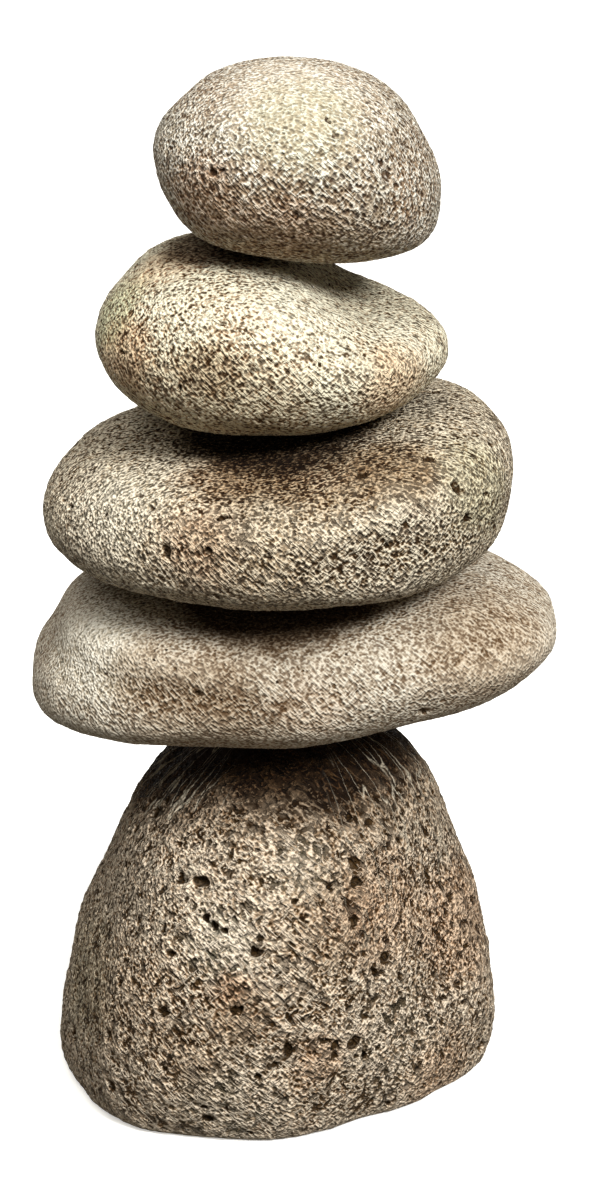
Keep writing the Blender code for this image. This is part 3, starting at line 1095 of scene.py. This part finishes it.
# %% [markdown]
# ## Floor
#
# The stack stands on a sheet of white acrylic that is lit from behind. It is large enough to fill
# the whole picture, since the camera looks down on it, and it glows a little, which keeps the
# stack's shadow faint. It throws no light back up, because the undersides of the stones have to
# stay dark.

# %% Lay the floor
FLOOR_SIZE = 60.0  # m
FLOOR_GLOW = 0.5

bpy.ops.object.select_all(action="DESELECT")
bpy.ops.mesh.primitive_plane_add(size=FLOOR_SIZE, location=(0, 0, cad_box[0].z))
floor = bpy.context.object
floor.name = "studio_floor"
acrylic = bpy.data.materials.new("backlit_white_acrylic")
acrylic.use_nodes = True
acrylic_shader = acrylic.node_tree.nodes["Principled BSDF"]
acrylic_shader.inputs["Base Color"].default_value = linear("#fbfaf6")
acrylic_shader.inputs["Roughness"].default_value = 0.9
acrylic_shader.inputs["Specular IOR Level"].default_value = 0.1
acrylic_shader.inputs["Emission Color"].default_value = linear("#fffdf8")
acrylic_shader.inputs["Emission Strength"].default_value = FLOOR_GLOW
floor.data.materials.append(acrylic)
floor.visible_diffuse = False
print(f"floor: {FLOOR_SIZE:.0f} m square")

# %% [markdown]
# ## Lights
#
# A large softbox hangs high over the stack, a little to the front and left, and shades each stone
# softly from top to bottom. A narrower light from the front right, a sun lamp as wide as a nearby
# softbox, draws the deep shadow under each stone. A little warm light from all round lifts the
# undersides just enough to be seen. The camera sees that air much brighter than it shines, like a
# white backdrop beyond the floor's far edge.

# %% Hang the lights
AIM = (0.0055, 0.0, 0.174)  # m; the point that the camera and the lights look at
AIR_LIGHT = 0.12  # what the air adds to the stones' light
AIR_SEEN = 1.5  # how bright it looks to the camera


def place_looking_at(thing, azimuth, elevation, distance):
    """Puts a light or camera round the aim point. Azimuth 0 is straight in front, + to the right."""
    a, e = math.radians(azimuth), math.radians(elevation)
    thing.location = (
        AIM[0] + distance * math.sin(a) * math.cos(e),
        AIM[1] - distance * math.cos(a) * math.cos(e),
        AIM[2] + distance * math.sin(e),
    )
    thing.rotation_euler = (math.pi / 2 - e, 0, a)


bpy.ops.object.light_add(type="AREA")
softbox = bpy.context.object
softbox.name = "overhead_softbox"
softbox.data.shape = "SQUARE"
softbox.data.size = 1.6  # m
softbox.data.energy = 27.5  # W
place_looking_at(softbox, azimuth=-25, elevation=68, distance=1.5)

bpy.ops.object.light_add(type="SUN")
key = bpy.context.object
key.name = "key_light"
key.data.energy = 3.75  # W per square metre
key.data.angle = math.radians(18)
place_looking_at(key, azimuth=36, elevation=42, distance=2.0)

world = bpy.data.worlds.new("studio_air")
world.use_nodes = True
air = world.node_tree.nodes["Background"]
air.inputs["Color"].default_value = linear("#fff4e2")
seen = add_node(world.node_tree, "ShaderNodeLightPath", output="Is Camera Ray")
brightness = add_node(world.node_tree, "ShaderNodeMapRange", {0: seen, 3: AIR_LIGHT, 4: AIR_SEEN})
world.node_tree.links.new(brightness, air.inputs["Strength"])
bpy.context.scene.world = world
print("lights:", softbox.name, "and", key.name)

# %% [markdown]
# ## Camera
#
# A long lens from a little over a metre looks down on the stack and keeps the stones in proportion.
# Colours are shown as they are, with no film-like curve, so that the pale floor stays pale.

# %% Set up the camera
CAMERA_LENS = 117  # mm, on a sensor whose long side is 36 mm
CAMERA_SENSOR = 36
CAMERA_ELEVATION = 23  # degrees above the horizon
CAMERA_DISTANCE = 1.30  # m

bpy.ops.object.camera_add()
camera = bpy.context.object
camera.name = "studio_camera"
camera.data.lens = CAMERA_LENS
camera.data.sensor_width = CAMERA_SENSOR
place_looking_at(camera, 0, CAMERA_ELEVATION, CAMERA_DISTANCE)
bpy.context.scene.camera = camera
bpy.context.scene.view_settings.view_transform = "Standard"
print(f"camera {CAMERA_DISTANCE:.2f} m away, {CAMERA_ELEVATION} degrees up")

# %% [markdown]
# ## Finish
#
# The dressed stones have to keep the size of the imported ones, so the imported stones' box is
# printed.

# %% Print the imported stones' box
print("packed box ", [[round(v / MM, 1) for v in corner] for corner in cad_box])
